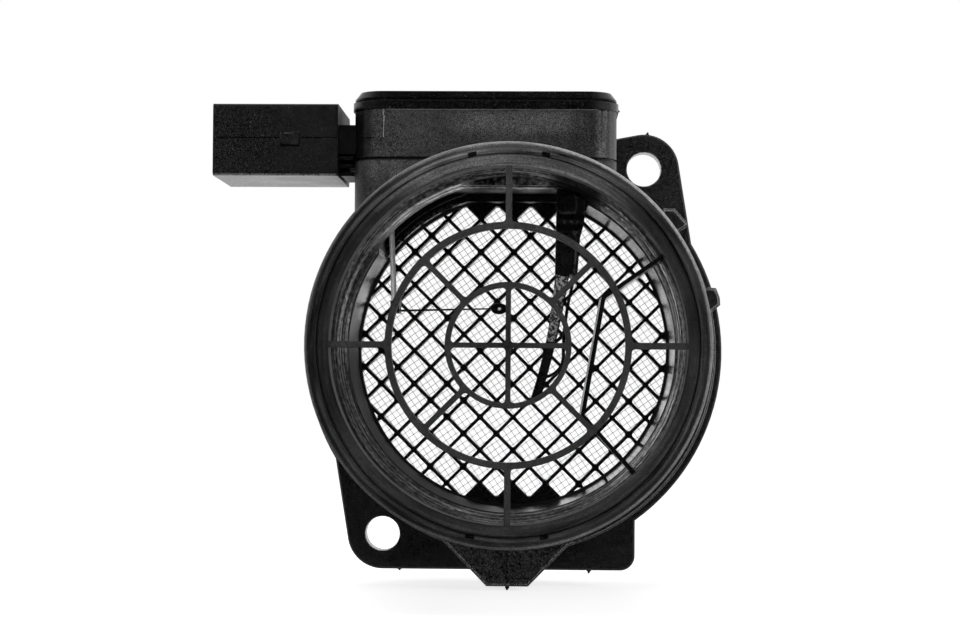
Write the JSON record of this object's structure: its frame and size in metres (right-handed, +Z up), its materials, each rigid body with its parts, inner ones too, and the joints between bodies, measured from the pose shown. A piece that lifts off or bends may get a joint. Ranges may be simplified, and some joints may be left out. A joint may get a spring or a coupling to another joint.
{
  "type": "mass airflow sensor",
  "caption": "Duct-type mass airflow sensor: hose inlet with spoked guard, bent partition, sensing arm and rear lattice, eared bolt flange, and an electronics box on top with a side connector.",
  "frame": {"origin": "centre of the duct, in the plane of the flange's rear mounting face", "axes": "+Y along the duct with the flow, out of the rear mounting face; +X to the right seen from the hose end, away from the connector; +Z up, to the electronics box's cover"},
  "size_m": [0.1042, 0.084, 0.1007],
  "materials": {
    "black_moulding": "fine grain, glass-filled nylon",
    "guard_moulding": "satin",
    "lattice_moulding": "satin",
    "arm_moulding": "semi-gloss",
    "seal_rubber": "matt",
    "screen_wire": "bright wire",
    "steel_wire": "bright",
    "tinned_contact": "tinned",
    "film_ceramic": "matt",
    "potting": "matt, speckled",
    "board": "satin",
    "chip_epoxy": "matt",
    "capacitor_body": "matt",
    "bead_epoxy": "semi-gloss"
  },
  "bodies": {
    "root": {"capacitor_1": "capacitor_body", "capacitor_2": "capacitor_body", "capacitor_3": "capacitor_body", "circuit_board": "board", "cover_seal": "seal_rubber", "electronics_housing": "black_moulding", "element_pin_1": "tinned_contact", "element_pin_2": "tinned_contact", "element_pin_3": "tinned_contact", "element_pin_4": "tinned_contact", "element_potting": "potting", "flange_seal": "seal_rubber", "flow_partition": "guard_moulding", "heated_film": "film_ceramic", "housing_cover": "black_moulding", "housing_gasket": "seal_rubber", "inlet_guard": "guard_moulding", "inlet_tube": "black_moulding", "rear_flange": "black_moulding", "rear_lattice": "lattice_moulding", "reference_film": "film_ceramic", "screen_retaining_ring": "lattice_moulding", "sensor_arm": "arm_moulding", "signal_chip": "chip_epoxy", "terminal_1": "tinned_contact", "terminal_2": "tinned_contact", "terminal_3": "tinned_contact", "terminal_4": "tinned_contact", "terminal_5": "tinned_contact", "thermistor_bead": "bead_epoxy", "thermistor_lead_front": "steel_wire", "thermistor_lead_rear": "steel_wire", "thermistor_prong_front": "steel_wire", "thermistor_prong_rear": "steel_wire", "thermistor_spacer": "arm_moulding", "voltage_regulator": "chip_epoxy", "wire_screen": "screen_wire"}
  },
  "joints": []
}
